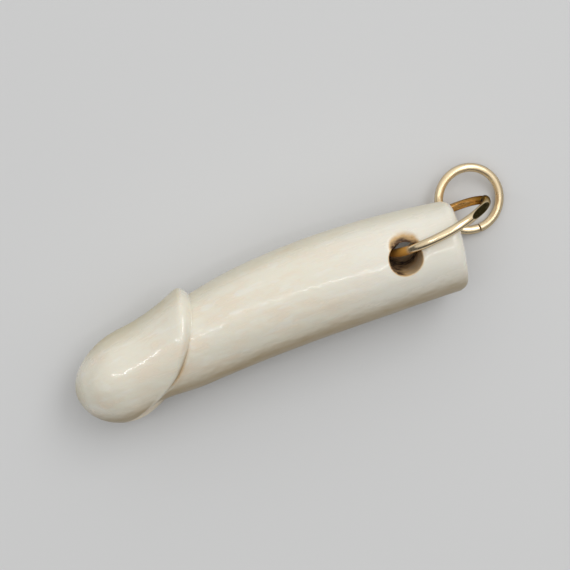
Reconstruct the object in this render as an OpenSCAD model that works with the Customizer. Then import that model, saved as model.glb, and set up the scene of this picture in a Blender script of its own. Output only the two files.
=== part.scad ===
// Bone amulet: a carved and polished bone drop, a wire bail through its side hole, and a jump ring.
// It lies on a surface at z = 0, with +X from the rounded tip to the cut end and +Y toward the back.

/* [Bone] */
// Radius of the bow along the back
bow_r = 165; // [140:5:300]
// Distance from the tip to the top of the bow
bow_x = 26; // [22:1:30]
// Distance from the tip to the middle of the cut end
bone_l = 45.05; // [44:0.05:47]
// Slant of the end cut, the back side longer
end_slant = 7; // [0:0.5:12]
// Radius of the end's worn edge
end_round = 1; // [0.5:0.1:1.5]
// Length of the domed front of the head
dome_l = 6; // [5:0.5:8]
// Length over which the head flares out to its lip
flare_l = 7; // [5:0.5:8]
// Length of the step from the lip down to the shaft
lip_w = 1; // [0.8:0.1:1.6]

/* [Hole] */
// Diameter of the hole from side to side
hole_d = 3.6; // [3.6:0.1:4]
// Distance from the tip to the hole
hole_x = 38.85; // [38.5:0.05:39.2]
// How far the middle of the hole sits toward the back
hole_up = 1.15; // [1:0.05:1.4]
// How far the hole is drilled off square
hole_slant = 4; // [2:0.5:5]
// Diameter of the ball that shapes the worn hollow at each mouth
dish_d = 4.8; // [4.6:0.1:5.2]
// Depth of the worn hollows
dish_depth = 0.8; // [0.5:0.1:1]

/* [Bail and ring] */
// Thickness of the bail's wire
bail_wire = 0.95; // [0.8:0.05:1]
// Outer diameter of the bail
bail_od = 12.75; // [12.6:0.05:12.9]
// Thickness of the jump ring's wire
ring_wire = 0.95; // [0.8:0.05:1]
// Outer diameter of the jump ring
ring_od = 8; // [7.8:0.1:8.2]
// Width of the cut where a ring's wire ends meet
ring_cut = 0.08; // [0.04:0.01:0.2]

/* [How it lies] */
// Roll that turns the back upward
roll = 20; // [18:1:22]
// Rise of the bone toward its cut end
pitch = 1.6; // [1.2:0.1:2]
// Lean of the bail from upright
bail_lean = 11; // [10:0.5:12]
// Turn of the bail about the vertical
bail_turn = 7.5; // [6:0.5:9]
// Tilt of the jump ring, which lies over the bail's lower leg
ring_tilt = 14.5; // [14:0.5:15]
// Direction in which the jump ring's low side points
ring_low = -60; // [-65:5:-50]
// Turn of the jump ring's cut from its low side
cut_turn = -29; // [-180:1:180]

/* [Hidden] */

// Bone's own axes: x from the tip, y toward the back, z across
bone_at = [-26.25, -0.3, 5.06];
bail_at = [17.27, 1.12, 0];
ring_at = [22.13, 2.69, 0];

// Columns of the tables of sections, after the distance from the tip: reach toward the back,
// reach toward the belly, and half the width
back = 1;
belly = 2;
side = 3;

// Head sections, before the lip's flare
head_rows = [
    [0, 4.15, 5, 4.5],
    [3, 4.2, 5.3, 4.6],
    [6, 4.4, 5.42, 4.7],
    [9, 4.4, 5.1, 4.75],
    [16, 4.4, 4.9, 4.7]
];

// Shaft sections in the same columns
shaft_rows = [
    [3, 3.9, 4.4, 4.3],
    [9, 4.1, 4.8, 4.5],
    [13, 4.3, 5.35, 4.65],
    [16, 4.6, 5.45, 4.75],
    [20, 5.1, 5.5, 4.95],
    [26, 5.4, 5.55, 5.05],
    [34, 5.4, 5.6, 5],
    [40, 5.15, 5.4, 4.8],
    [46, 4.75, 5.15, 4.65]
];

// Groove at the lip's foot, after the turn from the back toward the upper side: distance from
// the tip, and how far the lip flares. The two halves meet in a narrow cleft on the belly side.
groove = 1;
flare = 2;
cleft_turn = 153;
lip_rows = [
    [-207, 4.7, 0.05],
    [-200, 6.1, 0.1],
    [-193, 7.4, 0.15],
    [-183, 8.6, 0.2],
    [-165, 10.2, 0.25],
    [-140, 11.6, 0.25],
    [-105, 13, 0.3],
    [-70, 14.3, 0.7],
    [-35, 15.3, 1.15],
    [0, 15.6, 1.3],
    [35, 15.4, 1.1],
    [60, 14.7, 0.8],
    [80, 13.8, 0.6],
    [97, 12.7, 0.5],
    [114, 11.2, 0.4],
    [133, 8.8, 0.25],
    [140, 7.4, 0.15],
    [147, 6.1, 0.1],
    [153, 4.7, 0.05]
];

// Rounded step from the lip to the groove: share of its length, share of its drop
run = 0;
drop = 1;
step_rows = [[0.3, 0.04], [0.5, 0.16], [0.68, 0.42], [0.84, 0.78], [1, 1]];

// Mesh of the skin
around = 64;
head_rings = 26;
shaft_rings = 34;
end_rings = 4;
cleft_crowding = 25;

// Row of a table that a distance falls in
function row_at(rows, x, i = 0) =
    (i >= len(rows) - 2 || x < rows[i + 1][0]) ? i : row_at(rows, x, i + 1);

// Slope of a column at a row, level with its neighbours
function row_slope(rows, i, column) =
    let (lo = max(i - 1, 0), hi = min(i + 1, len(rows) - 1))
    (rows[hi][column] - rows[lo][column]) / (rows[hi][0] - rows[lo][0]);

// Smooth curve through a column of a table
function curve(rows, x, column) =
    let (
        i = row_at(rows, x),
        span = rows[i + 1][0] - rows[i][0],
        u = min(max((x - rows[i][0]) / span, 0), 1),
        m0 = row_slope(rows, i, column) * span,
        m1 = row_slope(rows, i + 1, column) * span
    )
    rows[i][column] * (2 * u ^ 3 - 3 * u ^ 2 + 1) + m0 * (u ^ 3 - 2 * u ^ 2 + u)
    + rows[i + 1][column] * (3 * u ^ 2 - 2 * u ^ 3) + m1 * (u ^ 3 - u ^ 2);

// Height of the middle line at a distance from the tip
function spine(x) = -(x - bow_x) ^ 2 / (2 * bow_r);

// Height and width of a section at a turn, before the flare: [y, z]
function section(rows, x, a) =
    [curve(rows, x, cos(a) >= 0 ? back : belly) * cos(a), curve(rows, x, side) * sin(a)];

function dome(x) = x >= dome_l ? 1 : sqrt(1 - ((dome_l - max(x, 0)) / dome_l) ^ 2.15);

function head_at(x, a, lip_x) =
    let (near = max(1 - max(lip_x - x, 0) / flare_l, 0) ^ 2 * curve(lip_rows, a, flare))
    section(head_rows, x, a) * dome(x) + near * [cos(a), sin(a)];

function shaft_at(x, a) = section(shaft_rows, x, a);

// Length of the step, shorter where the lip fades out at the cleft
function step_l(a) = lip_w * min(curve(lip_rows, a, groove) / 9, 1);

function head_point(t, a) =
    let (lip_x = curve(lip_rows, a, groove) - step_l(a), x = lip_x * t ^ 2 * (1.6 - 0.6 * t))
    [x, each (head_at(x, a, lip_x) + [spine(x), 0])];

function step_point(row, a) =
    let (
        lip_x = curve(lip_rows, a, groove) - step_l(a),
        x = lip_x + step_l(a) * row[run],
        foot = shaft_at(lip_x + step_l(a), a)
    )
    [x, each (head_at(lip_x, a, lip_x) * (1 - row[drop]) + foot * row[drop] + [spine(x), 0])];

// Distance along the bone of the cut end at a height
function end_x(y) = bone_l + y * tan(end_slant);

function shaft_point(t, a) =
    let (
        from = curve(lip_rows, a, groove),
        upto = end_x(shaft_at(bone_l, a)[0]) - end_round,
        x = from + (upto - from) * t
    )
    [x, each (shaft_at(x, a) + [spine(x), 0])];

// Worn edge of the end, a quarter turn from the side to the cut face
function edge_point(t, a) =
    let (
        rim = shaft_at(bone_l, a),
        inward = end_round * (1 - cos(90 * t)) / norm(rim),
        flat = rim * (1 - inward),
        x = end_x(rim[0]) - end_round * (1 - sin(90 * t))
    )
    [x, each (flat + [spine(x), 0])];

// Turns of the skin's lines, closer together at the cleft
turns = [for (j = [0:around - 1]) let (u = 360 * j / around)
    cleft_turn - 360 + u - cleft_crowding * sin(u)];

rings = concat(
    [for (i = [1:head_rings]) [for (a = turns) head_point(i / head_rings, a)]],
    [for (row = step_rows) [for (a = turns) step_point(row, a)]],
    [for (i = [1:shaft_rings]) [for (a = turns) shaft_point(i / shaft_rings, a)]],
    [for (i = [1:end_rings]) [for (a = turns) edge_point(i / end_rings, a)]]
);

// Closed skin through rings of points, with a point at each pole
module skin(rings, first, last) {
    n = len(rings[0]);
    points = [first, each [for (ring = rings) each ring], last];
    end = len(points) - 1;
    faces = concat(
        [for (j = [0:n - 1]) [0, 1 + j, 1 + (j + 1) % n]],
        [for (i = [0:len(rings) - 2], j = [0:n - 1])
            let (a = 1 + i * n + j, b = 1 + i * n + (j + 1) % n)
            each [[a, b + n, b], [a, a + n, b + n]]],
        [for (j = [0:n - 1]) let (base = 1 + (len(rings) - 1) * n)
            [end, base + (j + 1) % n, base + j]]
    );
    polyhedron(points, faces, convexity = 6);
}

module carved_bone() {
    skin(rings, [0, spine(0), 0], [bone_l, spine(bone_l), 0]);
}

// Hollow that the bail has worn by a mouth of the hole, at a distance from the tip and a turn
// from the back
module worn_hollow(x, a) {
    at = shaft_at(x, a);
    outward = [at[0] / curve(shaft_rows, x, back) ^ 2, at[1] / curve(shaft_rows, x, side) ^ 2];
    centre = at + outward / norm(outward) * (dish_d / 2 - dish_depth);
    translate([x, centre[0] + spine(x), centre[1]])
    sphere(d = dish_d, $fn = 48);
}

module hole() {
    through = 14;
    translate([hole_x, hole_up + spine(hole_x), 0])
    rotate([-hole_slant, 0, 0])
    cylinder(h = through, d = hole_d, center = true, $fn = 48);
}

module bone_drop() {
    color("ivory")
    translate(bone_at) rotate([roll, -pitch, 0])
    difference() {
        carved_bone();
        hole();
        worn_hollow(hole_x + 0.8, 60);
        worn_hollow(hole_x + 0.8, -73);
    }
}

// Wire ring lying flat about the origin, bent round until its ends meet at +X
module wire_ring(outer_d, wire) {
    mid_r = (outer_d - wire) / 2;
    cut_angle = ring_cut / mid_r * 180 / PI;
    rotate([0, 0, cut_angle / 2])
    rotate_extrude(angle = 360 - cut_angle, $fn = 96)
    translate([mid_r, 0])
    circle(d = wire, $fn = 24);
}

// Standing bail: it passes through the hole and round the cut end
module bail() {
    low = (bail_od - bail_wire) / 2 * cos(bail_lean) + bail_wire / 2;
    color("goldenrod")
    translate(bail_at + [0, 0, low])
    rotate([0, 0, bail_turn])
    rotate([90 + bail_lean, 0, 0])
    wire_ring(bail_od, bail_wire);
}

module jump_ring() {
    low = (ring_od - ring_wire) / 2 * sin(ring_tilt) + ring_wire / 2;
    color("gold")
    translate(ring_at + [0, 0, low])
    rotate([0, 0, ring_low])
    rotate([0, ring_tilt, 0])
    rotate([0, 0, cut_turn])
    wire_ring(ring_od, ring_wire);
}

bone_drop();
bail();
jump_ring();
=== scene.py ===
import math
import bpy
import bmesh
from mathutils import Matrix, Vector, noise


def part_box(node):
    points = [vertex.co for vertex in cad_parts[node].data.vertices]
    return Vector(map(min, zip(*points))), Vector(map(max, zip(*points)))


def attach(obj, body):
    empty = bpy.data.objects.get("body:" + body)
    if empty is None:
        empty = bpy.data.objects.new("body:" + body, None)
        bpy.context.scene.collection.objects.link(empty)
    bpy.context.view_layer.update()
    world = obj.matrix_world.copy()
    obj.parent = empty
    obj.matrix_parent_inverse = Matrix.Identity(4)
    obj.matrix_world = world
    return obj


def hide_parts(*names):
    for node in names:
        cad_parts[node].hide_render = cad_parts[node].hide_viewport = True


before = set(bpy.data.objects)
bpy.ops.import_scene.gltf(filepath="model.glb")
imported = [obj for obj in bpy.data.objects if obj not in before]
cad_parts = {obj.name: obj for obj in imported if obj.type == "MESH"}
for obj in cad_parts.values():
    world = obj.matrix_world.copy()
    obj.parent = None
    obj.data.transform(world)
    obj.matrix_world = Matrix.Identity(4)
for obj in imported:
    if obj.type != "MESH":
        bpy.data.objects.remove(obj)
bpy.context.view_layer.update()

mm = 0.001                                  # the shapes below are worked out in millimetres
collection = bpy.context.scene.collection
print("frame loaded:", ", ".join(sorted(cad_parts)))


# Camera straight above, turned as the photograph is
camera = {
    "over": (-0.55, 1.07),                  # point of the surface under the middle of the picture, mm
    "height": 184,                          # mm above the surface
    "turn": -21,                            # degrees, which puts the bone across the picture
    "width": 64.23,                         # mm of the surface across the picture
    "sensor": 36,                           # mm
    "nearest": 0.01,                        # what lies nearer or farther than this isn't shown, m
    "farthest": 10,
}


def makeCamera():
    data = bpy.data.cameras.new("camera")
    data.sensor_width = camera["sensor"]
    data.lens = camera["sensor"] * camera["height"] / camera["width"]
    data.clip_start = camera["nearest"]
    data.clip_end = camera["farthest"]
    eye = bpy.data.objects.new("camera", data)
    eye.location = Vector((*camera["over"], camera["height"])) * mm
    eye.rotation_euler = (0, 0, math.radians(camera["turn"]))
    collection.objects.link(eye)
    bpy.context.scene.camera = eye


makeCamera()
print("camera placed")


# Shader maths: + - * on a Link add Math nodes, and add() makes any other node
class Link:
    def __init__(self, tree, socket=None):
        self.tree = tree
        self.socket = socket

    def add(self, kind, settings=None, inputs=None, out=0):
        node = self.tree.nodes.new(kind)
        for name, value in (settings or {}).items():
            setattr(node, name, value)
        for name, value in (inputs or {}).items():
            if isinstance(value, Link):
                self.tree.links.new(value.socket, node.inputs[name])
            else:
                node.inputs[name].default_value = value
        return Link(self.tree, node.outputs[out])

    def maths(self, operation, a, b):
        return self.add("ShaderNodeMath", {"operation": operation}, {0: a, 1: b})

    def __add__(self, other):
        return self.maths("ADD", self, other)

    def __radd__(self, other):
        return self.maths("ADD", other, self)

    def __sub__(self, other):
        return self.maths("SUBTRACT", self, other)

    def __rsub__(self, other):
        return self.maths("SUBTRACT", other, self)

    def __mul__(self, other):
        return self.maths("MULTIPLY", self, other)

    def __rmul__(self, other):
        return self.maths("MULTIPLY", other, self)

    def mix(self, below, above):            # this link is the share of above
        return self.add("ShaderNodeMix", {"data_type": "RGBA"}, {0: self, 6: below, 7: above}, out=2)

    def step(self, low, high):              # soft step from 0 at low to 1 at high
        return self.add("ShaderNodeMapRange", {"interpolation_type": "SMOOTHSTEP"},
                        {"Value": self, "From Min": low, "From Max": high})


def newMaterial(name, settings):
    material = bpy.data.materials.new(name)
    material.use_nodes = True
    tree = material.node_tree
    shader = tree.nodes["Principled BSDF"]
    for socket, value in settings.items():
        shader.inputs[socket].default_value = value
    return material, Link(tree), shader


def feed(shader, socket, link):
    link.tree.links.new(link.socket, shader.inputs[socket])


# Values that a piece's own code has painted on its vertices
def painted(link, layer):
    return link.add("ShaderNodeAttribute", {"attribute_name": layer}, out=2)


# Noise in Object coordinates, from a row of a finish's patterns
def cloud(link, size, shift, detail, rough, edges=None):
    position = link.add("ShaderNodeTexCoord", out=3)
    where = link.add("ShaderNodeMapping", inputs={
        "Vector": position, "Location": shift, "Scale": tuple(1 / mm / s for s in size)})
    clouds = link.add("ShaderNodeTexNoise", inputs={
        "Vector": where, "Scale": 1, "Detail": detail, "Roughness": rough})
    return clouds.step(*edges) if edges else clouds


# The least of a share, and how much more there is where a pattern is full
def varied(share, pattern):
    least, more = share
    return least + more * pattern


boneFinish = {
    "cream": (0.775, 0.74, 0.625, 1),
    "warm": (0.765, 0.645, 0.50, 1),        # pinkish patches, drawn out along the bone
    "milk": (0.80, 0.785, 0.71, 1),         # paler streaks between them, and the bleached end
    "straw": (0.45, 0.39, 0.22, 1),         # straw tone, dark enough to be painted edge shade, along the back and the tip, most of all on the head
    "bellyShade": (0.35, 0.25, 0.11, 1),        # painted shade, brown, on the belly side
    "grain": (0.66, 0.55, 0.40, 1),         # fine lines along the bone
    "tan": (0.62, 0.41, 0.19, 1),           # beside the groove, on the worn mouths and on the hole's paler wall: grime and stain, with painted shade by the groove and painted light in the hole
    "stainAndShade": (0.065, 0.027, 0.008, 1),      # stain and painted shade, in the hole and down in the groove
    "end": (0.72, 0.64, 0.48, 1),           # the cut end
    "shares": {                             # how strongly each colour covers those before it
        "patches": 0.52,
        "milky": 0.5,
        "bleached": 0.6,
        "grain": 0.12,
        "fine": 0.08,
        "strawAndShade": (0.65, 0.2),            # in a pair, the second is added where the clouds are
        "bellyShade": (0.78, 0.1),
        "cut": (0.35, 0.4),
        "pores": 0.55,
        "brown": (0.6, 0.3),
        "blotches": 0.4,
    },
    "coat": (0.4, 0.5),                     # least weight, and how much more where it is polished
    "coatShadedEdges": 0.8,                     # share of the coat that is gone where the belly shade and the straw edge shade are painted
    "coatStainAndShade": (0, 0.4),                # strengths of the stain and painted shade between which the coat ends
    "roughness": 0.19,                      # and what is added to it by
    "dull": {"patches": 0.1, "grain": 0.16, "stainAndShade": 0.6, "cut": 0.2, "shadedEdges": 0.25},
    "relief": {"grain": -0.5, "fine": -0.35, "swell": 0.5, "pores": 2},     # the pores go down
    "bump": {"Strength": 0.08, "Distance": 0.00006},
    "shader": {
        "Subsurface Weight": 0.12,
        "Subsurface Radius": (0.9, 0.55, 0.3),
        "Subsurface Scale": 0.0012,
        "IOR": 1.54,
        "Coat Roughness": 0.08,
    },
    "patterns": {                           # size of the forms in mm, shift, detail, roughness, soft step
        "patches": ((4.2, 1.6, 1.6), (0, 0, 0), 3, 0.55, (0.42, 0.66)),
        "milky": ((2.6, 0.8, 0.8), (5, 1, 0), 2, 0.5, (0.54, 0.7)),
        "clouds": ((3, 2, 2), (5, 1, 0), 3, 0.6, (0.3, 0.75)),
        "grain": ((5, 0.22, 0.22), (0, 0, 0), 4, 0.65, (0.5, 0.72)),
        "fine": ((1.6, 0.07, 0.07), (0, 3, 0), 2, 0.5, (0.58, 0.7)),
        "pores": ((0.3, 0.16, 0.16), (4, 0, 1), 3, 0.6, (0.6, 0.68)),
        "blotches": ((0.9, 0.5, 0.5), (1, 4, 2), 3, 0.6, (0.32, 0.68)),
        "polish": ((9, 6, 6), (0, 2, 6), 2, 0.5, (0.38, 0.62)),
        "swell": ((0.5, 0.3, 0.3), (0, 0, 0), 3, 0.6),
    },
}


def makeBoneMaterial():
    look = boneFinish
    share = look["shares"]
    rows = look["patterns"]
    material, link, shader = newMaterial("polishedBone", look["shader"])
    patches = cloud(link, *rows["patches"])
    milky = cloud(link, *rows["milky"])
    clouds = cloud(link, *rows["clouds"])
    grain = cloud(link, *rows["grain"])
    fine = cloud(link, *rows["fine"])
    bleached = painted(link, "bleached")
    strawAndShade = painted(link, "strawAndShade")
    bellyShade = painted(link, "bellyShade")
    colour = (patches * share["patches"]).mix(look["cream"], look["warm"])
    colour = (milky * share["milky"]).mix(colour, look["milk"])
    colour = (bleached * share["bleached"]).mix(colour, look["milk"])
    colour = (grain * share["grain"] + fine * share["fine"]).mix(colour, look["grain"])
    # straw tone, with painted edge shade where the skin faces the back and the tip
    colour = (strawAndShade * varied(share["strawAndShade"], clouds)).mix(colour, look["straw"])
    # painted shade: brown where the skin turns toward the belly side
    colour = (bellyShade * varied(share["bellyShade"], clouds)).mix(colour, look["bellyShade"])
    cut = painted(link, "cutEnd")
    pores = cloud(link, *rows["pores"])
    colour = (cut * varied(share["cut"], clouds)).mix(colour, look["end"])
    colour = (cut * pores * share["pores"]).mix(colour, look["tan"])
    # stain with painted shade in the hole and the groove, paler on the hole's lit side as painted light
    stainAndShade = painted(link, "stainAndShade")
    blotches = cloud(link, *rows["blotches"])
    brown = painted(link, "grimeAndShade") + stainAndShade
    brown = brown * (varied(share["brown"], clouds) + share["blotches"] * blotches)
    colour = (brown * 2).mix(colour, look["tan"])           # tan up to a half, and from there the dark stain and painted shade
    colour = (brown * 2 - 1).mix(colour, look["stainAndShade"])
    feed(shader, "Base Color", colour)
    shadedEdges = link.maths("MAXIMUM", bellyShade, strawAndShade)
    polished = varied(look["coat"], cloud(link, *rows["polish"]))
    clean = 1 - stainAndShade.step(*look["coatStainAndShade"])
    feed(shader, "Coat Weight", polished * clean * (1 - look["coatShadedEdges"] * shadedEdges))
    dull = look["dull"]
    duller = dull["patches"] * patches + dull["grain"] * grain * clouds + dull["stainAndShade"] * stainAndShade
    duller = duller + dull["cut"] * cut + dull["shadedEdges"] * shadedEdges
    feed(shader, "Roughness", look["roughness"] + duller)
    relief = look["relief"]
    height = grain * relief["grain"] + fine * relief["fine"] + cloud(link, *rows["swell"]) * relief["swell"]
    height = height - cut * pores * relief["pores"]
    feed(shader, "Normal", link.add("ShaderNodeBump", inputs={**look["bump"], "Height": height}))
    return material


goldFinish = {
    "gold": (0.95, 0.775, 0.51, 1),
    "worn": (0.84, 0.62, 0.34, 1),
    "tarnish": (0.30, 0.20, 0.09, 1),
    "boneReflection": (0.66, 0.38, 0.13, 1),       # painted reflection of the bone, in shade, on the bail's lower leg
    "reflectedDark": (0.05, 0.042, 0.022, 1),   # painted dark reflection on the filed flat
    "wallReflectionColour": (0.68, 0.34, 0.07, 1),           # painted reflection of the hole's brown walls, on the wire inside the hole
    "shares": {                             # in a pair, the second is added where the specks are
        "worn": 0.4,
        "tarnish": 0.45,
        "boneReflection": (0.5, 1),
        "darkReflection": (0.75, 0.5),
    },
    "reflectionHidesMetal": 0.85,                       # share of the metal's look that the painted reflection hides
    "roughness": 0.11,                      # and what is added to it by
    "dull": {"patches": 0.08, "tarnish": 0.22, "boneReflection": 0.1, "darkReflection": 0.12, "wallReflection": 0.3, "satin": 0.13},
    "relief": 0.5,                          # of the specks, beside the marks of drawing
    "bump": {"Strength": 0.12, "Distance": 0.00003},
    "shader": {"Specular Tint": (0.05, 0.03, 0.01, 1)},
    "wornStep": (0.45, 0.75),
    "tarnishStep": (0.6, 0.74),
    "patterns": {                           # size of the forms in mm, shift, detail, roughness
        "patches": ((1.4, 1.4, 1.4), (0, 0, 0), 3, 0.6),
        "specks": ((0.35, 0.35, 0.35), (2, 0, 4), 4, 0.7),
        "drawn": ((0.12, 0.12, 0.12), (0, 0, 0), 3, 0.6),
    },
}


def makeGoldMaterial():
    look = goldFinish
    share = look["shares"]
    rows = look["patterns"]
    material, link, shader = newMaterial("paleGoldWire", look["shader"])
    patches = cloud(link, *rows["patches"])
    specks = cloud(link, *rows["specks"])
    tarnish = specks.step(*look["tarnishStep"])
    boneReflection = painted(link, "boneReflection")
    darkReflection = painted(link, "darkReflection")
    wallReflection = painted(link, "wallReflection")
    satin = painted(link, "satin")
    colour = (patches.step(*look["wornStep"]) * share["worn"]).mix(look["gold"], look["worn"])
    colour = (tarnish * share["tarnish"]).mix(colour, look["tarnish"])
    # painted reflection of the bone, in shade, on the bail's lower leg
    colour = (boneReflection * varied(share["boneReflection"], specks)).mix(colour, look["boneReflection"])
    # painted dark reflection on the filed flat
    colour = (darkReflection * varied(share["darkReflection"], specks)).mix(colour, look["reflectedDark"])
    # painted reflection of the hole's brown walls on the wire inside it
    colour = wallReflection.mix(colour, look["wallReflectionColour"])
    feed(shader, "Base Color", colour)
    feed(shader, "Metallic", 1 - look["reflectionHidesMetal"] * wallReflection)
    dull = look["dull"]
    rubbed = dull["boneReflection"] * boneReflection + dull["darkReflection"] * darkReflection + dull["wallReflection"] * wallReflection + dull["satin"] * satin
    aged = look["roughness"] + dull["patches"] * patches + dull["tarnish"] * tarnish
    feed(shader, "Roughness", aged + rubbed)
    height = cloud(link, *rows["drawn"]) + look["relief"] * specks
    feed(shader, "Normal", link.add("ShaderNodeBump", inputs={**look["bump"], "Height": height}))
    return material


boneMaterial = makeBoneMaterial()
goldMaterial = makeGoldMaterial()
print("materials made")


def finishPiece(name, bm, material, node):
    bmesh.ops.recalc_face_normals(bm, faces=bm.faces)
    for face in bm.faces:
        face.smooth = True
    mesh = bpy.data.meshes.new(name)
    bm.to_mesh(mesh)
    bm.free()
    mesh.materials.append(material)
    piece = bpy.data.objects.new(name, mesh)
    collection.objects.link(piece)
    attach(piece, "root")
    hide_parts(node)
    print("made", name, len(mesh.polygons), "faces")


# The carved bone, worked out along its own axis: x from the tip, y toward the back, z across
bone = {
    "bowRadius": 165,
    "bowTop": 26,                           # distance from the tip to the top of the bow
    "length": 45.05,
    "endSlant": 7,                          # degrees
    "endRound": 1,
    "domeLength": 6,
    "domePower": 2.15,                      # 2 makes a round dome, and more a blunter one
    "flareLength": 7,
    "crestRound": (0.11, 0.4),              # share of the flare that the crest loses, and over what distance
    "crestOnHead": (0.93, 0.985),           # the lip's crest begins on the head's last rings
    "crestOnStep": (0.3, 0.7),              # and ends on the step's
    "lipWidth": 1.15,
    "fullLipFrom": 9,                       # the lip narrows where its groove is nearer to the tip
    "cleftTurn": 153,                       # degrees from the back
    "roll": 20,
    "pitch": 1.6,
    "groove": {
        "depth": 0.1,
        "width": 0.16,
        "share": (0.3, 0.7),                # of the depth at the back, and how much more toward the belly
        "turns": (60, 125),                 # turns from the back over which it deepens
        "radius": 4.7,                      # of the shaft beside it
        "grimeAndShade": 0.36,
        "grimeAndShadeWidth": 0.15,
        "grimeAndShadeBeside": 0.2,
        "grimeAndShadeSpread": (0.5, 0.08),         # how far that reaches onto the shaft, and onto the lip
        "cleaned": 0.75,                    # share of the grime and painted shade that is taken out
        "cleanTurns": (108, 135),           # turns from the back over which it is
    },
    "waviness": 0.022,                      # how far hand work leaves the surface uneven
    "unevenness": [                         # size of the forms along each axis, shift, share of the waviness
        ((5, 3, 3), (3.1, 0, 0), 1),
        ((1.7, 1.2, 1.2), (0, 0, 0), 0.45),
        ((0.75, 0.6, 0.6), (0, 5.3, 0), 0.62),
    ],
    "around": 208,
    "rings": {"head": 84, "step": 16, "shaft": 110, "bored": 56, "end": 9},
    "capRings": 10,
    "headCrowding": (1.6, 0.6),             # the head's rings lie close together at the tip
    "shaftCrowding": 1.35,                  # and the shaft's beside the lip
    "cleftCrowding": 25,                    # and the meridians beside the cleft
    "straightFrom": 33,                     # from here to the end the rings stand square to the axis
}
back, belly, side = 1, 2, 3                 # columns of the sections, after the distance from the tip
headRows = [
    (0, 4.15, 5, 4.5),
    (3, 4.2, 5.3, 4.6),
    (6, 4.4, 5.42, 4.7),
    (9, 4.4, 5.1, 4.75),
    (16, 4.4, 4.9, 4.7),
]
shaftRows = [
    (3, 3.9, 4.4, 4.3),
    (9, 4.1, 4.8, 4.5),
    (13, 4.3, 5.35, 4.65),
    (16, 4.6, 5.45, 4.75),
    (20, 5.1, 5.5, 4.95),
    (26, 5.4, 5.55, 5.05),
    (34, 5.4, 5.6, 5),
    (40, 5.15, 5.4, 4.8),
    (46, 4.75, 5.15, 4.65),
]
groove, flare = 1, 2                        # columns of the lip, after the turn from the back
lipRows = [
    (-207, 4.7, 0.05),
    (-200, 6.1, 0.1),
    (-193, 7.4, 0.15),
    (-183, 8.6, 0.2),
    (-165, 10.2, 0.25),
    (-140, 11.6, 0.25),
    (-105, 13, 0.3),
    (-70, 14.3, 0.7),
    (-35, 15.3, 1.25),
    (0, 15.6, 1.42),
    (35, 15.4, 1.28),
    (60, 14.7, 0.98),
    (80, 13.8, 0.68),
    (97, 12.7, 0.5),
    (114, 11.2, 0.4),
    (133, 8.8, 0.25),
    (140, 7.4, 0.15),
    (147, 6.1, 0.1),
    (153, 4.7, 0.05),
]
drop = 1                                    # column of the step, after the way from the lip to the groove
stepRows = [
    (0, 0),
    (0.06, 0.003),
    (0.15, 0.02),
    (0.3, 0.085),
    (0.45, 0.2),
    (0.6, 0.36),
    (0.8, 0.65),
    (0.92, 0.86),
    (1, 1),
]


# Smooth curve through one column of the rows
def curve(rows, x, column):
    i = 0
    while i < len(rows) - 2 and x >= rows[i + 1][0]:
        i += 1

    def slope(k):
        lower = rows[max(k - 1, 0)]
        upper = rows[min(k + 1, len(rows) - 1)]
        return (upper[column] - lower[column]) / (upper[0] - lower[0])

    span = rows[i + 1][0] - rows[i][0]
    u = min(max((x - rows[i][0]) / span, 0), 1)
    return (rows[i][column] * (2 * u**3 - 3 * u**2 + 1) + slope(i) * span * (u**3 - 2 * u**2 + u)
            + rows[i + 1][column] * (3 * u**2 - 2 * u**3) + slope(i + 1) * span * (u**3 - u**2))


def fade(x, low, high):                     # soft step from 0 at low to 1 at high
    u = min(max((x - low) / (high - low), 0), 1)
    return u * u * (3 - 2 * u)


def spine(x):                               # the bow's middle line
    return -(x - bone["bowTop"])**2 / (2 * bone["bowRadius"])


def endX(y):                                # the slanted cut
    return bone["length"] + y * math.tan(math.radians(bone["endSlant"]))


def section(rows, x, turn):
    a = math.radians(turn)
    reach = curve(rows, x, back if math.cos(a) >= 0 else belly)
    return Vector((reach * math.cos(a), curve(rows, x, side) * math.sin(a)))


def headSection(x, turn, lipX):
    share = max(bone["domeLength"] - max(x, 0), 0) / bone["domeLength"]
    lost, over = bone["crestRound"]
    near = max(1 - max(lipX - x, 0) / bone["flareLength"], 0)**2 - lost * math.exp(-max(lipX - x, 0) / over)
    near *= curve(lipRows, turn, flare)
    a = math.radians(turn)
    domed = section(headRows, x, turn) * math.sqrt(1 - share**bone["domePower"])
    return domed + near * Vector((math.cos(a), math.sin(a)))


# A point of the skin on one ring: the part of the bone, how far along that part, and the turn
def skinPoint(part, t, turn):
    foot = curve(lipRows, turn, groove)
    step = bone["lipWidth"] * min(foot / bone["fullLipFrom"], 1)
    lipX = foot - step
    straight = bone["straightFrom"]
    if part == "head":
        most, less = bone["headCrowding"]
        x = lipX * t**2 * (most - less * t)
        flat = headSection(x, turn, lipX)
    elif part == "step":
        x = lipX + step * t
        down = curve(stepRows, t, drop)
        flat = headSection(lipX, turn, lipX) * (1 - down) + section(shaftRows, foot, turn) * down
    elif part == "shaft":
        x = foot + (straight - foot) * t**bone["shaftCrowding"]
        flat = section(shaftRows, x, turn)
    elif part == "bored":
        rim = section(shaftRows, bone["length"], turn)
        x = straight + (endX(rim.x) - bone["endRound"] - straight) * t
        flat = section(shaftRows, x, turn)
    else:
        rim = section(shaftRows, bone["length"], turn)
        bend = math.radians(90 * min(t, 1))
        flat = rim * (1 - bone["endRound"] * (1 - math.cos(bend)) / rim.length)
        flat *= 2 - max(t, 1)               # past 1 the rings close over the cut face
        x = endX(rim.x) - bone["endRound"] * (1 - math.sin(bend))
        if t > 1:
            x = endX(flat.x)
    return Vector((x, flat.x + spine(x), flat.y))


def boneRings():
    rings = []
    for part, count in bone["rings"].items():
        rings += [(part, (i + 1) / count) for i in range(count)]
    caps = bone["capRings"]
    return rings + [("end", 1 + (i + 1) / (caps + 1)) for i in range(caps)]


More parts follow.
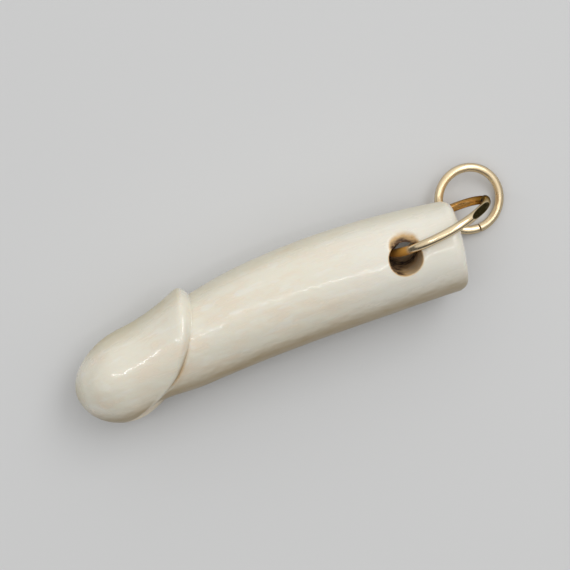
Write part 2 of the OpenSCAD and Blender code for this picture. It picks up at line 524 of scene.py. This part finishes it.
# How far a point of the shaft or step lies from the bottom of the groove, square to it
def grooveDistance(x, turn):
    rise = curve(lipRows, turn + 1, groove) - curve(lipRows, turn - 1, groove)
    steep = rise / (2 * math.radians(bone["groove"]["radius"]))
    return (x - curve(lipRows, turn, groove)) / math.sqrt(1 + steep**2)


# Brown dirt and painted crease shade down in the groove and beside it
def grooveGrimeAndShade(away, turn):
    cut = bone["groove"]
    low = fade(abs(turn), *cut["turns"])
    under = 1 - cut["cleaned"] * fade(abs(turn), *cut["cleanTurns"])
    onShaft, onLip = cut["grimeAndShadeSpread"]
    inside = cut["grimeAndShade"] * math.exp(-(away / cut["grimeAndShadeWidth"])**2)
    beside = cut["grimeAndShadeBeside"] * math.exp(-abs(away) / (onShaft if away > 0 else onLip))
    return low * under * (inside + beside)


# Lays a sphere's rings and meridians on the bone's skin, and its poles on the tip and the cut end
def layBone(bm):
    rings = boneRings()
    around = bone["around"]
    bmesh.ops.create_uvsphere(bm, u_segments=around, v_segments=len(rings) + 1, radius=1)
    grimeAndShade = bm.verts.layers.float.new("grimeAndShade")
    cutEnd = bm.verts.layers.float.new("cutEnd")
    crest = bm.verts.layers.float.new("crest")
    turns = bm.verts.layers.float.new("turn")
    numbers = bm.verts.layers.int.new("ring")
    cut = bone["groove"]
    least, more = cut["share"]
    for vert in bm.verts:
        ring = round(math.acos(min(max(vert.co.z, -1), 1)) / math.pi * (len(rings) + 1)) - 1
        if ring < 0:
            vert.co = (0, spine(0), 0)
            continue
        if ring >= len(rings):
            vert.co = (bone["length"], spine(bone["length"]), 0)
            vert[cutEnd] = 1
            continue
        part, t = rings[ring]
        u = round(math.atan2(vert.co.y, vert.co.x) / (2 * math.pi) * around) % around * 2 * math.pi / around
        turn = bone["cleftTurn"] - 360 + math.degrees(u) - bone["cleftCrowding"] * math.sin(u)
        vert[turns] = turn
        vert[numbers] = ring
        point = skinPoint(part, t, turn)
        if part in ("step", "shaft"):
            away = grooveDistance(point.x, turn)
            low = fade(abs(turn), *cut["turns"])
            dig = cut["depth"] * (least + more * low) * math.exp(-(away / cut["width"])**2)
            middle = Vector((point.x, spine(point.x), 0))
            point += (middle - point).normalized() * dig
            # grime with painted crease shade along the groove
            vert[grimeAndShade] = grooveGrimeAndShade(away, turn)
        if part == "head":
            vert[crest] = fade(t, *bone["crestOnHead"])
        if part == "step":
            vert[crest] = 1 - fade(t, *bone["crestOnStep"])
        if part == "end" and t > 1:
            vert[cutEnd] = 1
        vert.co = point


# The side-to-side hole, its rounded rims, and the hollows that the bail has worn beside them
hole = {
    "width": 3.6,
    "at": 38.85,
    "up": 1.15,
    "slant": 4,
    "rim": 0.12,
    "block": (2.45, 27),                    # half the patch of skin that gives way to each mouth: mm, degrees
    "approach": (0.3, 0.3, 0.35, 0.45, 0.6, 1),     # shares of the way left that the rings go toward the rim
    "rimRings": 6,
    "wallRings": 9,
    "wallShare": 0.93,                      # share of the way to the middle that the wall's rings go
    "searchDepth": 4.5,                     # where the search for the skin starts
    "mouthDepth": 4.9,                      # about where the hole's axis leaves the skin
    "hollows": [                            # distance past the hole, turn from the back, reach, depth
        (0.3, 56, 1.9, 0.6),
        (1.2, 66, 1.7, 0.4),
        (0.8, -73, 2.2, 0.75),
    ],
    "stainAndShade": {                              # each direction is along the bone and then toward its back
        "overRim": 0.2,                     # how far the stain of the wall reaches past it
        "litSideToward": (0.7, -0.7),          # side of the wall painted paler, as painted light
        "litSideStep": (-0.1, 0.8),
        "litSideDepth": (0, 2.6),              # from the middle of the hole toward its mouths
        "litSideShare": 0.62,
        "leanToward": (0.24, 0.97),         # side of the mouths that the bail leans on
        "leanStep": (0.35, 0.75),
        "reach": (0.25, 0.85),              # of the brown past the wall, and how much more on that side
        "reachStep": (0.45, 0.95),
        "solidShare": 0.2,                  # share of the reach that keeps its full strength
        "rimLost": 0.2,                     # share of the strength that is lost just past the rim
        "rimStep": (0, 0.35),
    },
}
slant = math.radians(hole["slant"])
holeMiddle = Vector((hole["at"], hole["up"] + spine(hole["at"]), 0))
holeAlong = Vector((0, math.sin(slant), math.cos(slant)))
holeUp = Vector((0, math.cos(slant), -math.sin(slant)))


def besideHole(point):                      # place beside the hole's axis, and depth along it
    off = point - holeMiddle
    return off.x, off.dot(holeUp), off.dot(holeAlong)


def fromHole(x, y, depth):                  # and back to a point
    return holeMiddle + Vector((x, 0, 0)) + holeUp * y + holeAlong * depth


def skinDepth(x, y, sign):                  # where a line beside the axis meets the skin
    depth = sign * hole["searchDepth"]
    for _ in range(6):
        point = fromHole(x, y, depth)
        tall = point.y - spine(point.x)
        reach = curve(shaftRows, point.x, back if tall >= 0 else belly)
        z = curve(shaftRows, point.x, side) * math.sqrt(max(1 - (tall / reach)**2, 0))
        depth += (sign * z - point.z) / math.cos(slant)
    return depth


# Extrudes open edges a share of the way to a width, sunk under the skin, and leaves a part of their depth
def extrudeMouth(bm, edges, sign, width, share=1, sink=0, left=1):
    made = bmesh.ops.extrude_edge_only(bm, edges=edges)["geom"]
    verts = {g for g in made if isinstance(g, bmesh.types.BMVert)}
    for vert in verts:
        x, y = besideHole(vert.co)[:2]
        angle = math.atan2(y, x)
        wide = math.hypot(x, y)
        wide += (width - wide) * share
        x = wide * math.cos(angle)
        y = wide * math.sin(angle)
        vert.co = fromHole(x, y, (skinDepth(x, y, sign) - sign * sink) * left)
    return [e for e in bm.edges if e.verts[0] in verts and e.verts[1] in verts]


# Opens the skin on one side and makes the rim and half the wall, and returns the wall's inner edges
def openMouth(bm, sign):
    turns = bm.verts.layers.float["turn"]
    numbers = bm.verts.layers.int["ring"]
    counts = bone["rings"]
    pitch = (bone["length"] - bone["endRound"] - bone["straightFrom"]) / counts["bored"]
    before = counts["head"] + counts["step"] + counts["shaft"]
    middleRing = before + (hole["at"] - bone["straightFrom"]) / pitch
    mouth = holeMiddle + holeAlong * sign * hole["mouthDepth"]
    tall = (mouth.y - spine(mouth.x)) / curve(shaftRows, mouth.x, back)
    mouthTurn = sign * math.degrees(math.atan2(abs(mouth.z) / curve(shaftRows, mouth.x, side), tall))
    patch = []
    for face in bm.faces:
        x = (sum(vert[numbers] for vert in face.verts) / 4 - middleRing) * pitch
        turn = sum(vert[turns] for vert in face.verts) / 4 - mouthTurn
        if len(face.verts) == 4 and abs(x) < hole["block"][0] and abs(turn) < hole["block"][1]:
            patch.append(face)
    bmesh.ops.delete(bm, geom=patch, context="FACES")
    opened = [e for e in bm.edges if e.is_boundary]
    edges = [e for e in opened if sign * besideHole(e.verts[0].co)[2] > 1]      # not the other wall's
    radius = hole["width"] / 2
    rim = hole["rim"]
    for share in hole["approach"]:
        edges = extrudeMouth(bm, edges, sign, radius + rim, share)
    for i in range(hole["rimRings"]):
        bend = math.radians(90 * (i + 1) / hole["rimRings"])
        edges = extrudeMouth(bm, edges, sign, radius + rim * (1 - math.sin(bend)),
                             sink=rim * (1 - math.cos(bend)))
    for i in range(hole["wallRings"]):
        left = 1 - hole["wallShare"] * (i + 1) / hole["wallRings"]
        edges = extrudeMouth(bm, edges, sign, radius, sink=rim, left=left)
    return edges


# Brown stain and painted shade in the hole, with painted light on one side of its wall, and brown stain round
# its mouths where the bail leans
def stainAndShadeHole(bm):
    stainAndShade = bm.verts.layers.float.new("stainAndShade")
    marks = hole["stainAndShade"]
    litX, litY = marks["litSideToward"]
    leanX, leanY = marks["leanToward"]
    least, more = marks["reach"]
    for vert in bm.verts:
        x, y, depth = besideHole(vert.co)
        wide = math.hypot(x, y)
        past = wide - hole["width"] / 2
        if past < marks["overRim"]:
            # stain and painted shade inside the hole, with one side painted paler as painted light
            inside = 1 - fade(past, 0, marks["overRim"])
            litSide = fade((litX * x + litY * y) / max(wide, 0.1), *marks["litSideStep"])
            litSide *= fade(abs(depth), *marks["litSideDepth"])
            vert[stainAndShade] = inside * (1 - marks["litSideShare"] * litSide)
        if past > 0:
            toward = (leanX * x + leanY * y) / wide
            reach = least + more * fade(toward, *marks["reachStep"])
            worn = 1 - fade(past, marks["solidShare"] * reach, reach)
            worn *= fade(toward, *marks["leanStep"])
            worn *= 1 - marks["rimLost"] * fade(past, *marks["rimStep"])
            vert[stainAndShade] = max(vert[stainAndShade], worn)


# The hollows beside the mouths, where the bail has rubbed
def wearMouths(bm):
    for vert in bm.verts:
        for past, turn, reach, deep in hole["hollows"]:
            x = hole["at"] + past
            flat = section(shaftRows, x, turn)
            middle = Vector((x, flat.x + spine(x), flat.y))
            away = (vert.co - middle).length / reach
            if away < 1:
                outward = Vector((0, flat.x, flat.y)).normalized()
                vert.co -= outward * deep * (1 - away**2)**2


def drillBone(bm):
    walls = openMouth(bm, 1)
    walls += openMouth(bm, -1)
    bmesh.ops.bridge_loops(bm, edges=walls)
    stainAndShadeHole(bm)
    wearMouths(bm)
    bm.verts.layers.float.remove(bm.verts.layers.float["turn"])
    bm.verts.layers.int.remove(bm.verts.layers.int["ring"])


# Carving by hand leaves the skin a little uneven
def roughenBone(bm):
    bm.normal_update()
    moves = []
    for vert in bm.verts:
        uneven = 0
        for size, shift, share in bone["unevenness"]:
            at = Vector((vert.co.x / size[0], vert.co.y / size[1], vert.co.z / size[2])) + Vector(shift)
            uneven += share * noise.noise(at)
        moves.append(vert.normal * bone["waviness"] * uneven)
    for vert, move in zip(bm.verts, moves):
        vert.co += move


# Painted shade, brown on the belly side, and a straw tone with painted edge shade along the back and the tip,
# most of all on the head
shadeAndTone = {                                # each pair is where a soft step begins and ends
    "bellyShade": (0.02, 0.6),                  # as the skin turns toward the belly side
    "downward": 0.7,                        # how much facing down counts beside that
    "under": (-0.2, 0.8),                   # as it turns down
    "underLost": 0.25,                      # share of the painted belly shade that is lost underneath
    "crestLost": 0.7,                       # and on the lip's crest
    "bleached": (27, 37),                   # mm along the bone, where it grows paler toward its end
    "head": (12, 16),                       # mm along the bone, where the head's deeper yellow ends
    "strawAndShade": (0.6, 1),                   # as the skin turns toward the back
    "yellowShare": (0.6, 0.4),              # along the whole back, and how much more on the head
    "tip": (0.65, 1),                       # as it turns toward the tip
    "tipShare": 0.8,
}


def colourBone(bm):
    bellyShade = bm.verts.layers.float.new("bellyShade")
    bleached = bm.verts.layers.float.new("bleached")
    strawAndShade = bm.verts.layers.float.new("strawAndShade")
    crest = bm.verts.layers.float["crest"]
    least, more = shadeAndTone["yellowShare"]
    bm.normal_update()
    for vert in bm.verts:
        x = vert.co.x / mm
        facing = vert.normal
        below = 1 - shadeAndTone["underLost"] * fade(-facing.z, *shadeAndTone["under"])
        worn = 1 - shadeAndTone["crestLost"] * vert[crest]
        # painted shade on the skin that turns toward the belly side and down
        turnedToBelly = fade(-facing.y - shadeAndTone["downward"] * facing.z, *shadeAndTone["bellyShade"])
        vert[bellyShade] = turnedToBelly * below * worn
        vert[bleached] = fade(x, *shadeAndTone["bleached"])
        onHead = 1 - fade(x, *shadeAndTone["head"])
        # straw tone with painted edge shade where the skin faces the back and the tip
        alongBack = fade(facing.y, *shadeAndTone["strawAndShade"]) * (least + more * onHead)
        vert[strawAndShade] = max(alongBack, shadeAndTone["tipShare"] * fade(-facing.x, *shadeAndTone["tip"]))


def makeBone():
    bm = bmesh.new()
    layBone(bm)
    drillBone(bm)
    bmesh.ops.recalc_face_normals(bm, faces=bm.faces)
    roughenBone(bm)
    pitched = Matrix.Rotation(math.radians(-bone["pitch"]), 4, "Y")
    rolled = Matrix.Rotation(math.radians(bone["roll"]), 4, "X")
    bmesh.ops.transform(bm, matrix=Matrix.Scale(mm, 4) @ (pitched @ rolled), verts=bm.verts)
    colourBone(bm)
    low = Vector([min(v.co[i] for v in bm.verts) for i in range(3)])
    high = Vector([max(v.co[i] for v in bm.verts) for i in range(3)])
    solidLow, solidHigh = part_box("bone_drop")
    bmesh.ops.translate(bm, vec=(solidLow + solidHigh - low - high) / 2, verts=bm.verts)
    finishPiece("carvedBone", bm, boneMaterial, "bone_drop")


makeBone()


# Wire rings: a round section spun nearly all the way, with its two cut ends left a hair apart
bail = {
    "node": "bail",
    "wire": 0.95,
    "outer": 12.75,
    "turns": [("X", 101), ("Z", 7.5)],      # degrees, in this order
    "cut": 0.08,
    "offset": -0.1,                         # how far the two ends stand out of line
    "wobble": 0.012,
    "flat": (43, 0.31),                     # filed flat beside the cut: its turn from the cut, and its depth
    "boneReflection": (255, 350),                  # the lower leg, in turns from the cut
    "wallReflection": (139, 185),                    # the stretch inside the hole
    "satin": 0,
}
jumpRing = {
    "node": "jump_ring",
    "wire": 0.95,
    "outer": 8,
    "turns": [("Z", -29), ("Y", 14.5), ("Z", -60)],
    "cut": 0.08,
    "offset": 0.05,
    "wobble": 0.01,
    "flat": None,
    "boneReflection": None,
    "wallReflection": None,
    "satin": 1,                             # duller all over
}
ringMesh = {
    "section": 32,
    "steps": 260,
    "edge": 0.07,                           # bevel of the two cut ends
    "flatEdge": 0.05,                       # inset that keeps the flat's rim crisp
    "fade": 8,                              # degrees over which a painted stretch begins and ends
}


def spinWire(bm, ring):
    middle = (ring["outer"] - ring["wire"]) / 2
    gap = ring["cut"] / middle
    made = bmesh.ops.create_circle(bm, segments=ringMesh["section"], radius=ring["wire"] / 2)
    aside = Matrix.Rotation(gap / 2, 4, "Z") @ Matrix.Translation((middle, 0, 0))
    upright = Matrix.Rotation(math.pi / 2, 4, "X")
    bmesh.ops.transform(bm, verts=made["verts"], matrix=aside @ upright)
    bmesh.ops.spin(bm, geom=bm.edges[:], axis=(0, 0, 1), cent=(0, 0, 0),
                   angle=2 * math.pi - gap, steps=ringMesh["steps"])
    caps = [e for e in bm.edges if e.is_boundary]
    bmesh.ops.holes_fill(bm, edges=caps, sides=0)
    bmesh.ops.bevel(bm, geom=caps, offset=ringMesh["edge"], offset_type="OFFSET", affect="EDGES",
                    segments=3, profile=0.5, material=-1)


def fileFlat(bm, ring):
    darkReflection = bm.verts.layers.float["darkReflection"]
    degrees, depth = ring["flat"]
    turn = math.radians(degrees)
    outward = Vector((math.cos(turn), math.sin(turn), 0))
    made = bmesh.ops.bisect_plane(bm, geom=bm.verts[:] + bm.edges[:] + bm.faces[:], dist=0.0001,
                                  plane_co=outward * (ring["outer"] / 2 - depth), plane_no=outward,
                                  clear_outer=True)
    rim = [g for g in made["geom_cut"] if isinstance(g, bmesh.types.BMEdge)]
    made = bmesh.ops.edgeloop_fill(bm, edges=rim)
    bmesh.ops.inset_region(bm, faces=made["faces"], thickness=ringMesh["flatEdge"], use_even_offset=True)
    # the flat is painted dark, as a painted reflection
    for face in made["faces"]:
        for vert in face.verts:
            vert[darkReflection] = 1


# The wire is bent by hand, and its ends don't quite meet
def bendWire(bm, ring):
    satin = bm.verts.layers.float.new("satin")
    stretches = [(bm.verts.layers.float[name], ring[name]) for name in ("boneReflection", "wallReflection") if ring[name]]
    over = ringMesh["fade"]
    for vert in bm.verts:
        angle = math.atan2(vert.co.y, vert.co.x) % (2 * math.pi)
        degrees = math.degrees(angle)
        # painted reflections: the bone on the lower leg, and the hole's walls inside the hole
        for layer, (low, high) in stretches:
            vert[layer] = fade(degrees, low - over, low) * (1 - fade(degrees, high, high + over))
        vert[satin] = ring["satin"]
        vert.co.z += ring["offset"] * (1 - angle / math.pi)
        bends = [noise.noise(Vector((vert.co.x, vert.co.y, 7 * k))) for k in range(3)]
        vert.co += ring["wobble"] * Vector(bends)


def makeRing(name, ring):
    bm = bmesh.new()
    spinWire(bm, ring)
    for layer in ("darkReflection", "boneReflection", "wallReflection"):
        bm.verts.layers.float.new(layer)
    if ring["flat"]:
        fileFlat(bm, ring)
    bendWire(bm, ring)
    for axis, degrees in ring["turns"]:
        turn = Matrix.Rotation(math.radians(degrees), 3, axis)
        bmesh.ops.rotate(bm, verts=bm.verts, cent=(0, 0, 0), matrix=turn)
    bmesh.ops.scale(bm, vec=(mm, mm, mm), verts=bm.verts)
    low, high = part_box(ring["node"])
    bmesh.ops.translate(bm, vec=(low + high) / 2, verts=bm.verts)
    sunk = max(-min(vert.co.z for vert in bm.verts), 0)
    bmesh.ops.translate(bm, vec=(0, 0, sunk), verts=bm.verts)       # the wobble sinks no wire into the floor
    finishPiece(name, bm, goldMaterial, ring["node"])


makeRing("wireBail", bail)
makeRing("jumpRing", jumpRing)


# Plain pale floor and soft studio light
stage = {
    "floor": (0.62, 0.625, 0.63, 1),
    "floorRoughness": 0.85,
    "floorSize": 6,                         # m
    "world": (0.10, 0.102, 0.105, 1),
    "lamps": [                              # name, place, turn, width and length in mm, spread, watts, colour
        ("overheadSoftbox", (64, 166, 393), 0, (3000, 3000), 160, 18.4, (1, 0.99, 0.97)),
        ("headStrip", (-180, 32, 400), 59.5, (166, 12), 180, 0.075, (1, 1, 1)),
        ("shaftStrip", (-30, -3, 400), 39, (230, 14), 180, 0.045, (1, 1, 1)),
        ("endStrip", (140, -78, 400), -52, (200, 14), 180, 0.075, (1, 1, 1)),
        ("crestPanel", (297, 125, 400), -44, (340, 200), 180, 0.6, (1, 1, 1)),
    ],
}


def makeFloor():
    bm = bmesh.new()
    bmesh.ops.create_grid(bm, x_segments=1, y_segments=1, size=stage["floorSize"] / 2)
    mesh = bpy.data.meshes.new("floor")
    bm.to_mesh(mesh)
    bm.free()
    settings = {"Base Color": stage["floor"], "Roughness": stage["floorRoughness"]}
    mesh.materials.append(newMaterial("paleFloor", settings)[0])
    floor = bpy.data.objects.new("floor", mesh)
    collection.objects.link(floor)


def makeLights():
    world = bpy.data.worlds.new("studio")
    world.use_nodes = True
    world.node_tree.nodes["Background"].inputs["Color"].default_value = stage["world"]
    bpy.context.scene.world = world
    for name, where, turn, size, spread, watts, colour in stage["lamps"]:
        data = bpy.data.lights.new(name, "AREA")
        data.shape = "RECTANGLE"
        data.size = size[0] * mm
        data.size_y = size[1] * mm
        data.spread = math.radians(spread)
        data.energy = watts
        data.color = colour
        lamp = bpy.data.objects.new(name, data)
        lamp.location = Vector(where) * mm
        aim = (-lamp.location).to_track_quat("-Z", "Y").to_matrix()
        lamp.rotation_euler = (aim @ Matrix.Rotation(math.radians(turn), 3, "Z")).to_euler()
        collection.objects.link(lamp)
    bpy.context.scene.view_settings.view_transform = "Standard"


makeFloor()
makeLights()
print("floor and lights made")
